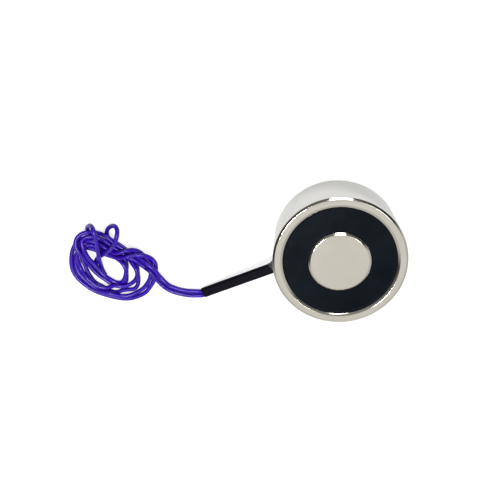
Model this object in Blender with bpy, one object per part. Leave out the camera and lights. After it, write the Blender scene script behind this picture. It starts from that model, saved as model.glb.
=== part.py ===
"""A round holding electromagnet: a plated steel pot, a potted coil and two flying leads.

The pot stands on its back, the mounting face, with the holding face up. The origin is the
centre of the mounting face, +Z runs along the pot's axis, and the leads leave towards -X and
lie on the surface that the pot stands on. Every size is in metres.
"""

import math

import bmesh
import bpy
from mathutils import Vector

MM = 0.001

# Steel pot, one turned piece with its centre pole; the chamfers of the face are shallow ones
POT_DIAMETER = 40.0 * MM
POT_HEIGHT = 20.0 * MM
POT_WALL = 3.0 * MM
BASE_THICKNESS = 4.0 * MM
POLE_DIAMETER = 18.6 * MM
RIM_CHAMFER = 0.65 * MM
BACK_CHAMFER = 0.5 * MM
MOUTH_CHAMFER = 0.7 * MM
POLE_CHAMFER = 0.65 * MM
CHAMFER_FALL = math.tan(math.radians(34.0))
GROOVE_ROOT_RADIUS = 0.4 * MM

# Blind M5 hole in the back, at its tapping size
MOUNT_HOLE_DIAMETER = 4.2 * MM
MOUNT_HOLE_DEPTH = 8.0 * MM
MOUNT_HOLE_MOUTH = 5.6 * MM
DRILL_POINT_ANGLE = math.radians(118.0)

# Side hole that the leads leave by
LEAD_HOLE_DIAMETER = 4.8 * MM

# Clearance between pieces that seat on each other, and the closer one inside sleeving
CLEARANCE = 0.3 * MM
SLEEVING_CLEARANCE = 0.1 * MM

# Coil: insulating washer, bobbin, winding and its tape
INSULATOR_THICKNESS = 0.3 * MM
CHAMBER_HEIGHT = 3.8 * MM
FLANGE_THICKNESS = 0.8 * MM
FLANGE_LIP = 0.4 * MM
BOBBIN_TUBE_WALL = 0.7 * MM
BOBBIN_NOTCH_WIDTH = 1.6 * MM
BOBBIN_FOOT_WIDTH = 2.0 * MM
BOBBIN_FOOT_LENGTH = 3.0 * MM
BOBBIN_FOOT_ANGLES = (0.0, 70.0, 290.0)
WINDING_CORNER = 0.3 * MM
TAPE_THICKNESS = 0.2 * MM

# Potting resin round the coil's outside and over its top
RESIN_RECESS = 0.8 * MM
RESIN_THICKNESS = 1.9 * MM
RESIN_SKIRT_WALL = 0.5 * MM

# Leads, the splices that join them to the winding, and their sleeving
LEAD_DIAMETER = 1.5 * MM
LEAD_PITCH = 1.6 * MM
WINDING_WIRE_DIAMETER = 0.4 * MM
START_SLEEVING_WALL = 0.2 * MM
START_SLEEVING_LENGTH = 2.0 * MM
SPLICE_DIAMETER = 1.0 * MM
SPLICE_LENGTH = 3.0 * MM
SPLICE_SLEEVING_WALL = 0.3 * MM
SPLICE_SLEEVING_LENGTH = 6.5 * MM
SPLICE_ANGLE = 31.0
NOTCH_ANGLE = 56.0
SLEEVE_WALL = 0.15 * MM
TIP_DIAMETER = 0.8 * MM
TIP_LENGTH = 4.0 * MM

# Epoxy collar where the sleeve leaves the pot
SEAL_LENGTH = 1.6 * MM
SEAL_WIDTH = 1.3 * MM
SEAL_LIP = 0.45 * MM

# Hank: the loose oval bundle that the leads are wound into
HANK_CENTRE = (-74.0 * MM, 16.5 * MM)
HANK_LENGTH = 32.0 * MM
HANK_WIDTH = 22.4 * MM
HANK_HEIGHT = 5.6 * MM
HANK_TURN = -43.5
HANK_EYE_CENTRE = (-73.4 * MM, 15.8 * MM)
HANK_EYE_LENGTH = 9.6 * MM
HANK_EYE_WIDTH = 6.2 * MM
HANK_EYE_TURN = -80.0
HANK_CROWN_RADIUS = 1.8 * MM

# Centre line of the sleeve, straight from inside the pot's wall down to its mouth
SLEEVE_START = (-17.4 * MM, 0.1 * MM, 6.6 * MM)
SLEEVE_END = (-48.2 * MM, -2.95 * MM, 1.1 * MM)

# Centre lines of the two leads, from just past the sleeve's mouth to the hank
LEAD_A_FREE = [
    (-50.3 * MM, -1.8 * MM, 0.9 * MM),
    (-52.2 * MM, -1.05 * MM, 0.9 * MM),
    (-54.0 * MM, -0.25 * MM, 0.8 * MM),
    (-55.7 * MM, 0.8 * MM, 0.8 * MM),
    (-57.2 * MM, 2.05 * MM, 0.8 * MM),
    (-58.3 * MM, 3.5 * MM, 0.9 * MM),
    (-59.1 * MM, 5.4 * MM, 1.2 * MM),
    (-59.6 * MM, 7.9 * MM, 1.9 * MM),
]
LEAD_B_FREE = [
    (-50.8 * MM, -3.3 * MM, 0.9 * MM),
    (-52.8 * MM, -2.6 * MM, 0.9 * MM),
    (-54.7 * MM, -1.7 * MM, 0.8 * MM),
    (-56.6 * MM, -0.5 * MM, 0.8 * MM),
    (-58.4 * MM, 0.95 * MM, 0.8 * MM),
    (-59.7 * MM, 2.7 * MM, 0.9 * MM),
    (-60.4 * MM, 4.2 * MM, 1.1 * MM),
    (-60.75 * MM, 5.8 * MM, 1.35 * MM),
]

ROUND_SIDES = 96
COIL_SIDES = 64
WIRE_SIDES = 12

# Sizes that follow from those above
POT_RADIUS = POT_DIAMETER / 2
BORE_RADIUS = POT_RADIUS - POT_WALL
POLE_RADIUS = POLE_DIAMETER / 2
LEAD_RADIUS = LEAD_DIAMETER / 2
INSULATOR_BOTTOM = BASE_THICKNESS + CLEARANCE
INSULATOR_TOP = INSULATOR_BOTTOM + INSULATOR_THICKNESS
LEAD_HOLE_HEIGHT = INSULATOR_TOP + CHAMBER_HEIGHT / 2
LOWER_FLANGE_BOTTOM = INSULATOR_TOP + CHAMBER_HEIGHT
LOWER_FLANGE_TOP = LOWER_FLANGE_BOTTOM + FLANGE_THICKNESS
RESIN_TOP = POT_HEIGHT - RESIN_RECESS
RESIN_BOTTOM = RESIN_TOP - RESIN_THICKNESS
UPPER_FLANGE_TOP = RESIN_BOTTOM - CLEARANCE
UPPER_FLANGE_BOTTOM = UPPER_FLANGE_TOP - FLANGE_THICKNESS
BOBBIN_BORE_RADIUS = POLE_RADIUS + CLEARANCE
BOBBIN_TUBE_RADIUS = BOBBIN_BORE_RADIUS + BOBBIN_TUBE_WALL
RESIN_SKIRT_RADIUS = BORE_RADIUS - CLEARANCE - RESIN_SKIRT_WALL
FLANGE_RADIUS = RESIN_SKIRT_RADIUS - CLEARANCE
WINDING_INNER_RADIUS = BOBBIN_TUBE_RADIUS + CLEARANCE
TAPE_OUTER_RADIUS = FLANGE_RADIUS - FLANGE_LIP
TAPE_INNER_RADIUS = TAPE_OUTER_RADIUS - TAPE_THICKNESS
WINDING_OUTER_RADIUS = TAPE_INNER_RADIUS - SLEEVING_CLEARANCE
WINDING_BOTTOM = LOWER_FLANGE_TOP + CLEARANCE
WINDING_TOP = UPPER_FLANGE_BOTTOM - CLEARANCE
CHAMBER_RADIUS = (POLE_RADIUS + BORE_RADIUS) / 2


def clear_scene():
    """Removes whatever the scene holds."""
    for old in list(bpy.data.objects):
        bpy.data.objects.remove(old, do_unlink=True)


def material(name, colour, roughness, metallic=0.0):
    """A Principled material of one colour."""
    made = bpy.data.materials.new(name)
    made.use_nodes = True
    shader = made.node_tree.nodes["Principled BSDF"]
    shader.inputs["Base Color"].default_value = (*colour, 1.0)
    shader.inputs["Roughness"].default_value = roughness
    shader.inputs["Metallic"].default_value = metallic
    return made


def add_object(name, bm, finish):
    """Turns a bmesh into a smooth-shaded object with outward faces."""
    bmesh.ops.recalc_face_normals(bm, faces=bm.faces)
    mesh = bpy.data.meshes.new(name)
    bm.to_mesh(mesh)
    bm.free()
    mesh.shade_smooth()
    mesh.set_sharp_from_angle(angle=math.radians(30))
    mesh.materials.append(finish)
    made = bpy.data.objects.new(name, mesh)
    bpy.context.scene.collection.objects.link(made)
    return made


def boolean(target, cutter, operation):
    """Adds a Boolean modifier and hides its helper object."""
    step = target.modifiers.new(cutter.name, "BOOLEAN")
    step.operation = operation
    step.solver = "EXACT"
    step.object = cutter
    cutter.hide_render = True
    cutter.display_type = "WIRE"


def turned(name, profile, finish, sides=COIL_SIDES):
    """A solid of revolution about Z from a closed (radius, height) section."""
    bm = bmesh.new()
    points = [bm.verts.new((radius, 0.0, height)) for radius, height in profile]
    edges = [bm.edges.new(pair) for pair in zip(points, points[1:])]
    if profile[0][0] > 0.0:
        edges.append(bm.edges.new((points[-1], points[0])))
    section = points + edges
    bmesh.ops.spin(
        bm, geom=section, cent=(0, 0, 0), axis=(0, 0, 1), angle=math.tau, steps=sides, use_merge=True
    )
    bmesh.ops.remove_doubles(bm, verts=bm.verts, dist=1e-6)
    return add_object(name, bm, finish)


def ring_section(inner, outer, bottom, top):
    """The rectangular section of a plain turned ring."""
    return [(outer, top), (outer, bottom), (inner, bottom), (inner, top)]


def arc_points(centre, radius, start, end, steps):
    """Points along an arc in the (radius, height) plane, angles in degrees."""
    found = []
    for step in range(steps + 1):
        angle = math.radians(start + (end - start) * step / steps)
        found.append((centre[0] + radius * math.cos(angle), centre[1] + radius * math.sin(angle)))
    return found


def around(angle, radius, height):
    """The point at this angle in degrees, radius and height about the pot's axis."""
    turn = math.radians(angle)
    return Vector((radius * math.cos(turn), radius * math.sin(turn), height))


def smooth_route(points, spacing):
    """Points at an even spacing on a smooth curve that runs through the given ones."""
    knots = [Vector(point) for point in points]
    knots = [2 * knots[0] - knots[1], *knots, 2 * knots[-1] - knots[-2]]
    fine = []
    for before, start, end, after in zip(knots, knots[1:], knots[2:], knots[3:]):
        steps = 24
        for step in range(steps):
            t = step / steps
            slope_in = (end - before) / 2
            slope_out = (after - start) / 2
            fine.append(
                start * (2 * t**3 - 3 * t**2 + 1)
                + slope_in * (t**3 - 2 * t**2 + t)
                + end * (3 * t**2 - 2 * t**3)
                + slope_out * (t**3 - t**2)
            )
    fine.append(knots[-2])
    return resampled(fine, spacing)


def resampled(points, spacing):
    """The same line with its points an even spacing apart."""
    lengths = [(after - before).length for before, after in zip(points, points[1:])]
    total = sum(lengths)
    count = max(1, round(total / spacing))
    found = [points[0]]
    passed = 0.0
    for start, end, length in zip(points, points[1:], lengths):
        while len(found) < count and passed + length >= total * len(found) / count:
            share = (total * len(found) / count - passed) / length
            found.append(start.lerp(end, share))
        passed += length
    return [*found, points[-1]]


def wire(name, points, diameter, finish):
    """A round wire along these points: a curve with a bevel and filled caps."""
    curve = bpy.data.curves.new(name, "CURVE")
    curve.dimensions = "3D"
    curve.bevel_depth = diameter / 2
    curve.bevel_resolution = 2
    curve.use_fill_caps = True
    spline = curve.splines.new("POLY")
    spline.points.add(len(points) - 1)
    for point, place in zip(spline.points, points):
        point.co = (*place, 1.0)
    curve.materials.append(finish)
    made = bpy.data.objects.new(name, curve)
    bpy.context.scene.collection.objects.link(made)
    return made


def oval_loop(centre, across, up, half_width, half_height, steps=8):
    """A loop with round ends and flat sides, half_width wide and half_height high."""
    reach = half_width - half_height
    found = []
    for side in (1, -1):
        for step in range(steps + 1):
            angle = math.pi * (step / steps - 0.5)
            out = side * (reach + half_height * math.cos(angle))
            found.append(centre + across * out + up * side * half_height * math.sin(angle))
    return found


def lofted_tube(name, outer_loops, inner_loops, finish):
    """A tube between matching outer and inner loops of points, one pair for each station."""
    bm = bmesh.new()
    outer = [[bm.verts.new(point) for point in loop] for loop in outer_loops]
    inner = [[bm.verts.new(point) for point in loop] for loop in inner_loops]
    around_section = [*outer, *reversed(inner)]
    for first, second in zip(around_section, [*around_section[1:], around_section[0]]):
        for index, corner in enumerate(first):
            after = (index + 1) % len(first)
            bm.faces.new((corner, first[after], second[after], second[index]))
    return add_object(name, bm, finish)


def make_pot(finish):
    """The steel pot and its centre pole, with the side hole and the blind hole in the back."""
    hole_radius = MOUNT_HOLE_DIAMETER / 2
    mouth_radius = MOUNT_HOLE_MOUTH / 2
    drill_point = hole_radius / math.tan(DRILL_POINT_ANGLE / 2)
    root = GROOVE_ROOT_RADIUS
    outer_root = (BORE_RADIUS - root, BASE_THICKNESS + root)
    inner_root = (POLE_RADIUS + root, BASE_THICKNESS + root)
    profile = [
        (0.0, POT_HEIGHT),
        (POLE_RADIUS - POLE_CHAMFER, POT_HEIGHT),
        (POLE_RADIUS, POT_HEIGHT - POLE_CHAMFER * CHAMFER_FALL),
        *arc_points(inner_root, root, 180, 270, 3),
        *arc_points(outer_root, root, 270, 360, 3),
        (BORE_RADIUS, POT_HEIGHT - MOUTH_CHAMFER * CHAMFER_FALL),
        (BORE_RADIUS + MOUTH_CHAMFER, POT_HEIGHT),
        (POT_RADIUS - RIM_CHAMFER, POT_HEIGHT),
        (POT_RADIUS, POT_HEIGHT - RIM_CHAMFER * CHAMFER_FALL),
        (POT_RADIUS, BACK_CHAMFER),
        (POT_RADIUS - BACK_CHAMFER, 0.0),
        (mouth_radius, 0.0),
        (hole_radius, mouth_radius - hole_radius),
        (hole_radius, MOUNT_HOLE_DEPTH),
        (0.0, MOUNT_HOLE_DEPTH + drill_point),
    ]
    pot = turned("pot_housing", profile, finish, ROUND_SIDES)
    boolean(pot, side_drill(), "DIFFERENCE")
    return pot


def side_drill():
    """The cutter of the side hole, from the groove out through the wall."""
    bm = bmesh.new()
    length = 2 * POT_WALL
    bmesh.ops.create_cone(
        bm,
        cap_ends=True,
        segments=32,
        radius1=LEAD_HOLE_DIAMETER / 2,
        radius2=LEAD_HOLE_DIAMETER / 2,
        depth=length,
    )
    drill = add_object("side_drill", bm, None)
    drill.rotation_euler = (0, math.pi / 2, 0)
    drill.location = (-(BORE_RADIUS + POT_WALL / 2), 0, LEAD_HOLE_HEIGHT)
    return drill


def make_insulator(finish):
    """The washer that keeps the splices off the steel."""
    outer = BORE_RADIUS - GROOVE_ROOT_RADIUS - CLEARANCE
    inner = POLE_RADIUS + GROOVE_ROOT_RADIUS + CLEARANCE
    return turned("base_insulator", ring_section(inner, outer, INSULATOR_BOTTOM, INSULATOR_TOP), finish)


def make_bobbin(finish):
    """The moulded bobbin: a tube, two flanges, a notch for each wire and three feet."""
    profile = [
        (BOBBIN_BORE_RADIUS, UPPER_FLANGE_TOP),
        (FLANGE_RADIUS, UPPER_FLANGE_TOP),
        (FLANGE_RADIUS, UPPER_FLANGE_BOTTOM),
        (BOBBIN_TUBE_RADIUS, UPPER_FLANGE_BOTTOM),
        (BOBBIN_TUBE_RADIUS, LOWER_FLANGE_TOP),
        (FLANGE_RADIUS, LOWER_FLANGE_TOP),
        (FLANGE_RADIUS, LOWER_FLANGE_BOTTOM),
        (BOBBIN_BORE_RADIUS, LOWER_FLANGE_BOTTOM),
    ]
    bobbin = turned("coil_bobbin", profile, finish)
    for number, side in enumerate((1, -1)):
        boolean(bobbin, notch_cutter(f"notch_cutter_{number}", 180 - side * NOTCH_ANGLE), "DIFFERENCE")
    for number, angle in enumerate(BOBBIN_FOOT_ANGLES):
        boolean(bobbin, bobbin_foot(f"bobbin_foot_{number}", angle), "UNION")
    return bobbin


def block(name, angle, near, far, width, bottom, top):
    """A block that lies along a radius of the pot, from near to far."""
    bm = bmesh.new()
    bmesh.ops.create_cube(bm, size=1.0)
    bmesh.ops.scale(bm, vec=(far - near, width, top - bottom), verts=bm.verts)
    made = add_object(name, bm, None)
    made.location = around(angle, (near + far) / 2, (bottom + top) / 2)
    made.rotation_euler = (0, 0, math.radians(angle))
    return made


def notch_cutter(name, angle):
    """The cutter of one notch in the lower flange, from its rim to the tube."""
    past = FLANGE_THICKNESS / 2
    return block(
        name,
        angle,
        BOBBIN_TUBE_RADIUS,
        FLANGE_RADIUS + past,
        BOBBIN_NOTCH_WIDTH,
        LOWER_FLANGE_BOTTOM - past,
        LOWER_FLANGE_TOP + past,
    )


def bobbin_foot(name, angle):
    """One foot under the lower flange, standing on the insulating washer."""
    sunk = FLANGE_THICKNESS / 2
    near = CHAMBER_RADIUS - BOBBIN_FOOT_LENGTH / 2
    return block(
        name,
        angle,
        near,
        near + BOBBIN_FOOT_LENGTH,
        BOBBIN_FOOT_WIDTH,
        INSULATOR_TOP + CLEARANCE,
        LOWER_FLANGE_BOTTOM + sunk,
    )


def make_winding(finish):
    """The wound copper, one layered body with softened corners."""
    inner, outer, soft = WINDING_INNER_RADIUS, WINDING_OUTER_RADIUS, WINDING_CORNER
    profile = [
        (inner, WINDING_TOP),
        (outer - soft, WINDING_TOP),
        (outer, WINDING_TOP - soft),
        (outer, WINDING_BOTTOM + soft),
        (outer - soft, WINDING_BOTTOM),
        (inner, WINDING_BOTTOM),
    ]
    return turned("copper_winding", profile, finish)


def make_tape(finish):
    """The polyester tape wrapped once round the winding."""
    section = ring_section(TAPE_INNER_RADIUS, TAPE_OUTER_RADIUS, WINDING_BOTTOM, WINDING_TOP)
    return turned("winding_tape", section, finish)


def make_resin(finish):
    """The cast resin: a ring over the coil and a skirt down its outside."""
    outer = BORE_RADIUS - CLEARANCE
    inner = POLE_RADIUS + CLEARANCE
    profile = [
        (inner, RESIN_TOP),
        (outer, RESIN_TOP),
        (outer, LOWER_FLANGE_TOP),
        (RESIN_SKIRT_RADIUS, LOWER_FLANGE_TOP),
        (RESIN_SKIRT_RADIUS, RESIN_BOTTOM),
        (inner, RESIN_BOTTOM),
    ]
    return turned("potting_resin", profile, finish)


def splice_axis(side):
    """The middle of a splice and the direction along it, away from the lead."""
    angle = 180 - side * SPLICE_ANGLE
    middle = around(angle, CHAMBER_RADIUS, LEAD_HOLE_HEIGHT)
    return middle, around(angle - side * 90, 1.0, 0.0)


def straight_tube(name, middle, along, length, inner_radius, wall, finish):
    """A short round tube centred on a point."""
    up = Vector((0, 0, 1)) if abs(along.z) < 0.5 else Vector((1, 0, 0))
    across = up.cross(along).normalized()
    up = along.cross(across)
    stations = [middle - along * length / 2, middle + along * length / 2]
    loops = []
    for radius in (inner_radius + wall, inner_radius):
        ring = []
        for place in stations:
            turns = [math.tau * step / WIRE_SIDES for step in range(WIRE_SIDES)]
            spokes = [across * math.cos(turn) + up * math.sin(turn) for turn in turns]
            ring.append([place + spoke * radius for spoke in spokes])
        loops.append(ring)
    return lofted_tube(name, loops[0], loops[1], finish)


def make_splice(letter, side, solder, sleeving):
    """A soldered joint between a lead and the winding's wire, and the sleeving over it."""
    middle, along = splice_axis(side)
    ends = [middle - along * SPLICE_LENGTH / 2, middle + along * SPLICE_LENGTH / 2]
    wire(f"splice_joint_{letter}", ends, SPLICE_DIAMETER, solder)
    inner = LEAD_RADIUS + SLEEVING_CLEARANCE
    tube = f"splice_sleeving_{letter}"
    straight_tube(tube, middle, along, SPLICE_SLEEVING_LENGTH, inner, SPLICE_SLEEVING_WALL, sleeving)


def winding_wire_radius(side):
    """How far out a wire passes the flange: the finish at the outside, the start at the tube."""
    if side > 0:
        return WINDING_OUTER_RADIUS - WINDING_WIRE_DIAMETER
    return WINDING_INNER_RADIUS + BOBBIN_NOTCH_WIDTH / 2


def make_winding_wire(name, side, finish):
    """An end of the winding's own wire, from its notch in the flange to its splice."""
    middle, along = splice_axis(side)
    start = middle + along * (SPLICE_LENGTH / 2 + CLEARANCE)
    mouth = middle + along * (SPLICE_SLEEVING_LENGTH / 2 + CLEARANCE)
    angle = 180 - side * NOTCH_ANGLE
    radius = winding_wire_radius(side)
    top = WINDING_BOTTOM - CLEARANCE
    route = [
        start,
        mouth,
        around(angle + side * 4, (radius + CHAMBER_RADIUS) / 2, LEAD_HOLE_HEIGHT),
        around(angle, radius, top - START_SLEEVING_LENGTH),
        around(angle, radius, top - START_SLEEVING_LENGTH / 2),
        around(angle, radius, top),
    ]
    return wire(name, smooth_route(route, WINDING_WIRE_DIAMETER * 1.5), WINDING_WIRE_DIAMETER, finish)


def make_start_sleeving(finish):
    """The sleeving on the inner wire end, where it passes up the notch beside the tube."""
    angle = 180 + NOTCH_ANGLE
    length = START_SLEEVING_LENGTH
    middle = around(angle, winding_wire_radius(-1), WINDING_BOTTOM - CLEARANCE - length / 2)
    inner = WINDING_WIRE_DIAMETER / 2 + SLEEVING_CLEARANCE
    tube = "start_wire_sleeving"
    return straight_tube(tube, middle, Vector((0, 0, 1)), length, inner, START_SLEEVING_WALL, finish)


def sleeve_line():
    """The start of the sleeve's centre line, and the directions along, across and up it."""
    start = Vector(SLEEVE_START)
    along = (Vector(SLEEVE_END) - start).normalized()
    across = along.cross(Vector((0, 0, 1))).normalized()
    return start, along, across, across.cross(along)


def lead_route(side, free):
    """A lead's centre line: from its splice, through the sleeve beside its twin, then free."""
    middle, away = splice_axis(side)
    end = middle - away * (SPLICE_LENGTH / 2 + CLEARANCE)
    mouth = middle - away * (SPLICE_SLEEVING_LENGTH / 2 + LEAD_RADIUS)
    start, along, across, _ = sleeve_line()
    length = (Vector(SLEEVE_END) - start).length
    beside = start + across * side * LEAD_PITCH / 2
    reaches = (-LEAD_RADIUS, 0.0, length / 2, length, length + LEAD_RADIUS)
    held = [beside + along * reach for reach in reaches]
    return [end, mouth, *held, *free]


def make_sleeve(finish):
    """The shrunk sleeve that holds both leads side by side where they leave the pot."""
    inner_height = LEAD_RADIUS + SLEEVING_CLEARANCE
    inner_width = inner_height + LEAD_PITCH / 2
    start, _, across, up = sleeve_line()
    outer_loops = []
    inner_loops = []
    for place in (start, Vector(SLEEVE_END)):
        outer_width = inner_width + SLEEVE_WALL
        outer_loops.append(oval_loop(place, across, up, outer_width, inner_height + SLEEVE_WALL))
        inner_loops.append(oval_loop(place, across, up, inner_width, inner_height))
    return lofted_tube("lead_sleeve", outer_loops, inner_loops, finish)


def make_seal(finish):
    """The epoxy collar round the sleeve, its back face fitted to the pot's wall."""
    inner_height = LEAD_RADIUS + SLEEVING_CLEARANCE + SLEEVE_WALL + CLEARANCE
    inner_width = inner_height + LEAD_PITCH / 2
    start, along, across, up = sleeve_line()
    near = POT_RADIUS + start.x - SEAL_WIDTH
    length = SEAL_WIDTH + SEAL_LENGTH
    steps = 6
    outer_loops = []
    inner_loops = []
    for step in range(steps + 1):
        share = step / steps
        place = start + along * (near + length * share)
        spread = SEAL_LIP + (SEAL_WIDTH - SEAL_LIP) * math.cos(share * math.pi / 2)
        outer_loops.append(oval_loop(place, across, up, inner_width + spread, inner_height + spread))
        inner_loops.append(oval_loop(place, across, up, inner_width, inner_height))
    seal = lofted_tube("exit_seal", outer_loops, inner_loops, finish)
    reach = POT_RADIUS + CLEARANCE
    section = [(0.0, POT_HEIGHT), (reach, POT_HEIGHT), (reach, 0.0), (0.0, 0.0)]
    boolean(seal, turned("wall_cutter", section, None, ROUND_SIDES), "DIFFERENCE")
    return seal


def oval_point(centre, length, width, turn, angle, outward=0.0):
    """A point on a turned oval, moved outward from it; angle in degrees."""
    spin = math.radians(turn)
    step = math.radians(angle)
    along = length / 2 * math.cos(step)
    across = width / 2 * math.sin(step)
    out = Vector((math.cos(step) * width, math.sin(step) * length)).normalized() * outward
    x, y = along + out.x, across + out.y
    return Vector(
        (
            centre[0] + x * math.cos(spin) - y * math.sin(spin),
            centre[1] + x * math.sin(spin) + y * math.cos(spin),
            0.0,
        )
    )


def hank_edge(angle, outward=0.0):
    """A point on the hank's outer edge; angle in degrees from its long axis."""
    return oval_point(HANK_CENTRE, HANK_LENGTH, HANK_WIDTH, HANK_TURN, angle, outward)


def eye_edge(angle, outward=0.0):
    """A point on the edge of the hank's eye, facing the outer edge's point at that angle."""
    facing = angle + HANK_TURN - HANK_EYE_TURN
    return oval_point(HANK_EYE_CENTRE, HANK_EYE_LENGTH, HANK_EYE_WIDTH, HANK_EYE_TURN, facing, outward)


def make_hank(finish):
    """The oval hank as one solid with rounded edges, open at its eye."""
    stations = 48
    foot = arc_points((-LEAD_RADIUS, LEAD_RADIUS), LEAD_RADIUS, -90, 0, 3)
    crown_centre = (-HANK_CROWN_RADIUS, HANK_HEIGHT - HANK_CROWN_RADIUS)
    corners = [*foot, *arc_points(crown_centre, HANK_CROWN_RADIUS, 0, 90, 4)]
    bm = bmesh.new()
    rings = []
    for station in range(stations):
        angle = 360 * station / stations
        ring = []
        for outward, height in corners:
            ring.append(bm.verts.new(hank_edge(angle, outward) + Vector((0, 0, height))))
        for outward, height in reversed(corners):
            ring.append(bm.verts.new(eye_edge(angle, -outward) + Vector((0, 0, height))))
        rings.append(ring)
    for first, second in zip(rings, [*rings[1:], rings[0]]):
        for index, corner_point in enumerate(first):
            after = (index + 1) % len(first)
            bm.faces.new((corner_point, second[index], second[after], first[after]))
    return add_object("lead_hank", bm, finish)


def make_tip(letter, angle, finish):
    """A lead's stripped and tinned end, lying inside the hank's eye along its edge."""
    inward = CLEARANCE + TIP_DIAMETER / 2
    start = eye_edge(angle, -inward)
    points = [start]
    while (points[-1] - start).length < TIP_LENGTH:
        angle += 1
        points.append(eye_edge(angle, -inward))
    lift = Vector((0, 0, TIP_DIAMETER / 2))
    route = [point + lift for point in resampled(points, TIP_DIAMETER)]
    return wire(f"lead_tip_{letter}", route, TIP_DIAMETER, finish)


def main():
    clear_scene()
    plated = material("nickel_plate", (0.72, 0.71, 0.67), 0.18, 1.0)
    fish_paper = material("fish_paper", (0.30, 0.33, 0.30), 0.85)
    nylon = material("bobbin_nylon", (0.82, 0.80, 0.74), 0.5)
    copper = material("enamelled_copper", (0.60, 0.26, 0.11), 0.35, 1.0)
    polyester = material("polyester_tape", (0.75, 0.52, 0.08), 0.4)
    resin = material("black_resin", (0.010, 0.012, 0.018), 0.45)
    solder = material("solder", (0.62, 0.62, 0.64), 0.35, 1.0)
    sleeving = material("clear_sleeving", (0.75, 0.75, 0.70), 0.5)
    heat_shrink = material("heat_shrink", (0.012, 0.012, 0.018), 0.6)
    epoxy = material("seal_epoxy", (0.05, 0.05, 0.055), 0.35)
    violet = material("violet_pvc", (0.08, 0.012, 0.52), 0.3)

    make_pot(plated)
    make_insulator(fish_paper)
    make_bobbin(nylon)
    make_winding(copper)
    make_tape(polyester)
    make_resin(resin)
    make_winding_wire("winding_finish_wire", 1, copper)
    make_winding_wire("winding_start_wire", -1, copper)
    make_start_sleeving(sleeving)
    make_sleeve(heat_shrink)
    make_seal(epoxy)
    for letter, side, free in (("a", 1, LEAD_A_FREE), ("b", -1, LEAD_B_FREE)):
        make_splice(letter, side, solder, sleeving)
        wire(f"lead_{letter}", smooth_route(lead_route(side, free), 3.0 * MM), LEAD_DIAMETER, violet)
    make_hank(violet)
    make_tip("a", 180, solder)
    make_tip("b", 250, solder)


main()
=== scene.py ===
"""The looks of the holding electromagnet: finishes, leads at their real length, and a studio."""

import math

import bmesh
import bpy
import numpy as np
from mathutils import Matrix, Vector, noise


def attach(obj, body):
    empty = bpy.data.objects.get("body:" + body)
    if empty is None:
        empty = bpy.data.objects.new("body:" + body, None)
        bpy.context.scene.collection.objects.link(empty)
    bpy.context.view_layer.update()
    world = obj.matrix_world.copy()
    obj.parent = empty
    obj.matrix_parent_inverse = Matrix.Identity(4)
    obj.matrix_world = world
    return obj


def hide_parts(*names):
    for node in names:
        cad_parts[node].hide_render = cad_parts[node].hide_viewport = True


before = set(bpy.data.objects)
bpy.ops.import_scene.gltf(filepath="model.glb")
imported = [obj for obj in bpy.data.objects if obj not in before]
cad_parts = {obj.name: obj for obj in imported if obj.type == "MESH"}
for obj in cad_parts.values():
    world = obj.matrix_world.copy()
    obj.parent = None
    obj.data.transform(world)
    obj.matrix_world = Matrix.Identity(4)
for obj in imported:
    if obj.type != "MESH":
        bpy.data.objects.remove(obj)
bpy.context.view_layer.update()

MM = 0.001

# The camera that took the photograph, worked out from the pot's round edges
CAMERA_PLACE = Vector((9.915, 67.613, 184.282)) * MM
CAMERA_AHEAD = Vector((-0.1905, -0.31148, -0.93096))
CAMERA_UP = Vector((0.31068, 0.88045, -0.35816))
CAMERA_LENS = 42.82
CAMERA_SENSOR = 36.0

# Sizes of the CAD model that the pieces here follow, in millimetres like all shapes below
POT_RADIUS = 20.0
POT_HEIGHT = 20.0
BORE_RADIUS = 17.0
POLE_RADIUS = 9.3
BASE_THICKNESS = 4.0
RIM_CHAMFER = 0.65
BACK_CHAMFER = 0.5
MOUTH_CHAMFER = 0.7
POLE_CHAMFER = 0.65
CHAMFER_FALL = 0.6745
GROOVE_ROOT_RADIUS = 0.4
LEAD_HOLE_RADIUS = 2.4
LEAD_HOLE_HEIGHT = 6.5
TAPPED_RADIUS = 2.1
THREAD_RADIUS = 2.5
THREAD_PITCH = 0.8
THREAD_MOUTH_RADIUS = 2.8
MOUNT_HOLE_DEPTH = 8.0
DRILL_POINT_DEPTH = 1.5
RESIN_TOP = 19.2
RESIN_BOTTOM = 17.3
RESIN_SKIRT_BOTTOM = 9.2
RESIN_SKIRT_RADIUS = 16.2
LEAD_RADIUS = 0.75
LEAD_PITCH = 1.6
SLEEVE_START = Vector((-17.4, 0.1, 6.6))
SLEEVE_END = Vector((-48.2, -2.95, 1.1))
SLEEVE_CLEARANCE = 0.1
SLEEVE_WALL = 0.15
SEAL_CLEARANCE = 0.3
SEAL_LENGTH = 1.6
SEAL_WIDTH = 1.3
TIP_RADIUS = 0.4
TIP_LENGTH = 4.0

# What only the looks need: the radius that turning leaves on an edge, and how fine round forms are
EDGE_RADIUS = 0.05
POT_SIDES = 256
RESIN_SIDES = 192

# The leads' spacing of points while they settle and when they are drawn, and the part that is held
SETTLING_ROUNDS = 200
SETTLING_SPACING = 0.6
DRAWN_SPACING = 0.3
HELD_LENGTH = 42.0

# How much the white sheet glows for the camera, and how much in a mirror image of it
FLOOR_LIFT = 0.72
REFLECTED_LIFT = 0.36

# How bright the room is behind and before the object, from the horizon (0) to the zenith (1)
BACK_LEVELS = [(0.0, 0.05), (0.5, 0.06), (0.75, 0.3), (1.0, 0.45)]
FRONT_LEVELS = [(0.0, 0.55), (0.5, 0.65), (0.75, 0.75), (1.0, 0.88)]

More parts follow.
